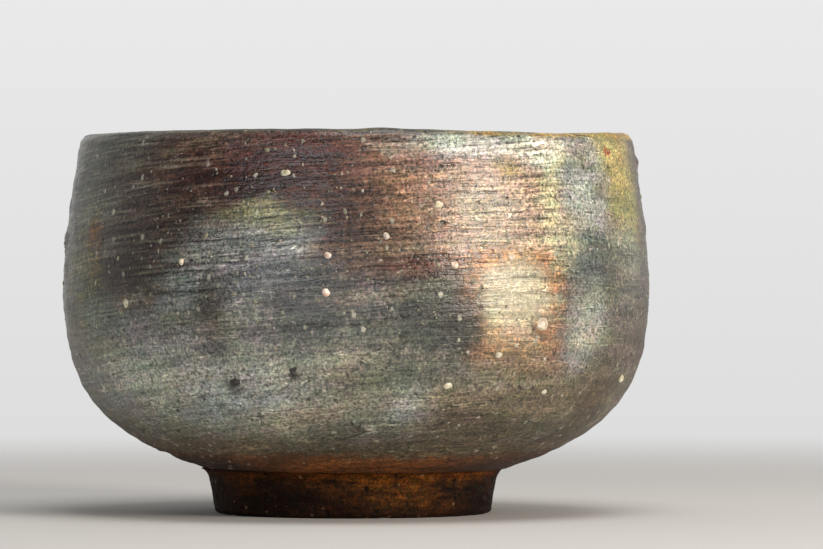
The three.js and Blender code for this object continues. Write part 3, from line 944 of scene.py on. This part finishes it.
def addBowl():
    w = wheelMarks
    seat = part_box("foot_ring")[1].x + w["seatMargin"] * mm
    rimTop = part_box("bowl_body")[1].z
    raw = nodeOutline("bowl_body", 93)
    topAt = max(range(len(raw)), key=lambda i: raw[i].z)
    lipStart = rimTop - w["lipHeight"] * mm

    def key(place):
        return tuple(round(c, 6) for c in place)

    insidePieces = {key((raw[i] + raw[i + 1]) / 2) for i in range(topAt, len(raw) - 1)}

    def spacing(middle):
        if key(middle) in insidePieces:
            return (w["lipRow"] if middle.z > lipStart else w["insideRow"]) * mm
        if middle.x < seat and middle.z < w["seatTop"] * mm:
            return w["seatRow"] * mm
        return w["outsideRow"] * mm

    def shares(outline, i, top):
        return 0.45 if i > top else 1.0

    outline = smoothOutline(raw, spacing)
    bm = spinOutline("bowl", outline, w["stepsAround"], False, shares)
    shapeWall(bm)
    surface = BVHTree.FromBMesh(bm)
    addPiece(bm, "thrownBowl", ["bowl_body"], [woodFiredStoneware()])
    print("thrown bowl: rows", len(outline))
    return surface


footMarks = {
    "stepsAround": 220,
    "row": 0.55,
    "lift": 0.38,          # the luted joint closes up under the bowl
    "turned": 0.08,
    "rough": 0.22,
    "chips": 0.5,
    "flare": 0.9,          # the wet clay was pressed out against the bowl
}


def addFoot():
    f = footMarks
    low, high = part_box("foot_ring")
    middle = (low + high) / 2
    outline = smoothOutline(nodeOutline("foot_ring", 93), lambda at: f["row"] * mm)
    bm = spinOutline("foot", outline, f["stepsAround"], True, lambda *_: 1.0)
    bm.normal_update()
    for vert in bm.verts:
        p = vert.co / mm
        turned = noise.noise(Vector((p.x / 14, p.y / 14, p.z / 0.9)))
        rough = noise.noise(p / 1.9) + 0.6 * noise.noise(p / 0.9)
        chip = max(0, noise.noise(Vector((p.x / 3.2, p.y / 3.2, 4))) - 0.25) * fade(2.2, 0.4, p.z)
        sway = noise.noise(Vector((p.x / 30, p.y / 30, p.z / 8)))
        out = f["turned"] * turned + f["rough"] * 0.5 * rough - f["chips"] * chip + 0.18 * sway
        vert.co += vert.normal * out * mm
        if vert.normal.xy.dot(p.xy) > 0:
            vert.co.xy += p.xy.normalized() * f["flare"] * fade(6.6, 9.0, p.z) ** 2 * mm
        vert.co.z += f["lift"] * fade(7.2, 8.6, p.z) * mm
        vert.co.z = max(vert.co.z, 0.0)
    bmesh.ops.translate(bm, verts=bm.verts, vec=(middle.x, middle.y, 0))
    addPiece(bm, "footRing", ["foot_ring"], [bareFootClay()])
    print("foot ring done")


def addPebble(name, material, seed, dent, proud):
    # a rounder, dented copy of the frame's grain; proud is the share of its depth that it keeps
    bm = bmesh.new()
    bm.from_mesh(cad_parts[name].data)
    bmesh.ops.remove_doubles(bm, verts=bm.verts, dist=0.001 * mm)
    bmesh.ops.subdivide_edges(bm, edges=bm.edges, cuts=2, use_grid_fill=True)
    for _ in range(2):
        bmesh.ops.smooth_vert(
            bm, verts=bm.verts, factor=0.5, use_axis_x=True, use_axis_y=True, use_axis_z=True,
        )
    low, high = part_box(name)
    middle = (low + high) / 2
    outward = Vector((middle.x, middle.y, 0)).normalized()
    bm.normal_update()
    shift = Vector((seed, seed * 2, seed * 3))
    for vert in bm.verts:
        p = vert.co / mm
        vert.co += vert.normal * (0.06 + dent * noise.noise(p / 0.8 + shift)) * mm
        vert.co -= outward * (vert.co - middle).dot(outward) * (1 - proud)
    for face in bm.faces:
        face.smooth = True
    piece = name.replace("feldspar_stone", "feldsparGrain").replace("iron_spot", "ironSpot")
    addPiece(bm, piece, [name], [material])


strewn = {
    "count": 1100,
    "smallest": 0.13,
    "spread": 0.12,          # mean of the random part of the radius, in mm
    "largest": 0.55,
    "sunk": 0.2,             # share of the radius that the middle lies under the skin
    "seed": 41,
    "lowest": 14,
    "highest": 77.2,
    "thickest": 60,          # height in mm where most of it lies
    "round": 0.42,           # a larger grain gets a finer ball
}


def addStrewnGrit(surface):
    s = strewn
    chance = random.Random(s["seed"])
    bm = bmesh.new()
    for _ in range(s["count"]):
        azimuth = chance.uniform(-180, 180)
        height = chance.triangular(s["lowest"], s["highest"], s["thickest"]) * mm
        radius = min(s["largest"], s["smallest"] + chance.expovariate(1 / s["spread"])) * mm
        # looks at the axis from outside, and upwards near the foot
        below = fade(26, 12, height / mm)
        start = onWall(azimuth, 0, 1) * 0.1 + Vector((0, 0, height - 0.03 * below))
        target = Vector((0, 0, height + 0.012 * below))
        spot, normal, _, _ = surface.ray_cast(start, (target - start).normalized())
        if spot is None:
            continue
        turn = normal.to_track_quat("Z", "Y").to_matrix().to_4x4()
        spin = Matrix.Rotation(chance.uniform(0, math.tau), 4, "Z")
        across, along, deep = (chance.uniform(*span) for span in ((0.7, 1.2), (0.9, 1.5), (0.4, 0.7)))
        shape = Matrix.Diagonal((across, along, deep, 1))
        place = Matrix.Translation(spot - normal * radius * s["sunk"]) @ turn @ spin @ shape
        level = 2 if radius > s["round"] * mm else 1
        bmesh.ops.create_icosphere(bm, subdivisions=level, radius=radius, matrix=place)
    for face in bm.faces:
        face.smooth = True
    print("strewn grit:", len(bm.faces), "faces")
    # sand and feldspar under a film of ash, from cream to olive, each a little different
    grit = grainMaterial("ashedGrit", [(0.32, "#57533f"), (0.66, "#a09a82")], 0.3, (0.35, 0.6), 0.08, 1.5)
    addPiece(bm, "strewnGrit", [], [grit])


bpy.context.scene.view_settings.view_transform = "Standard"
addCamera()
addLights()
addWorld()
addFloor()
print("studio ready")
wallSurface = addBowl()
addFoot()
# feldspar grit half melted in the firing: milky beads with warm stains and a soft gloss
feldspar = grainMaterial("meltedFeldspar", [(0.35, "#b39d78"), (0.6, "#e2dac4")], 0.8, (0.3, 0.5), 0.1, 1.52)
# iron-rich grains that boiled to slag: nearly black, dull, pitted
iron = grainMaterial("meltedIron", [(0.3, "#12110f"), (0.75, "#34332c")], 0.5, (0.4, 0.75), 0.15, 1.6)
for i, name in enumerate(sorted(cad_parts)):
    if name.startswith("feldspar_stone"):
        addPebble(name, feldspar, i, 0.22, 0.9)
    if name.startswith("iron_spot"):
        addPebble(name, iron, i, 0.5, 0.6)
print("grains done")
addStrewnGrit(wallSurface)
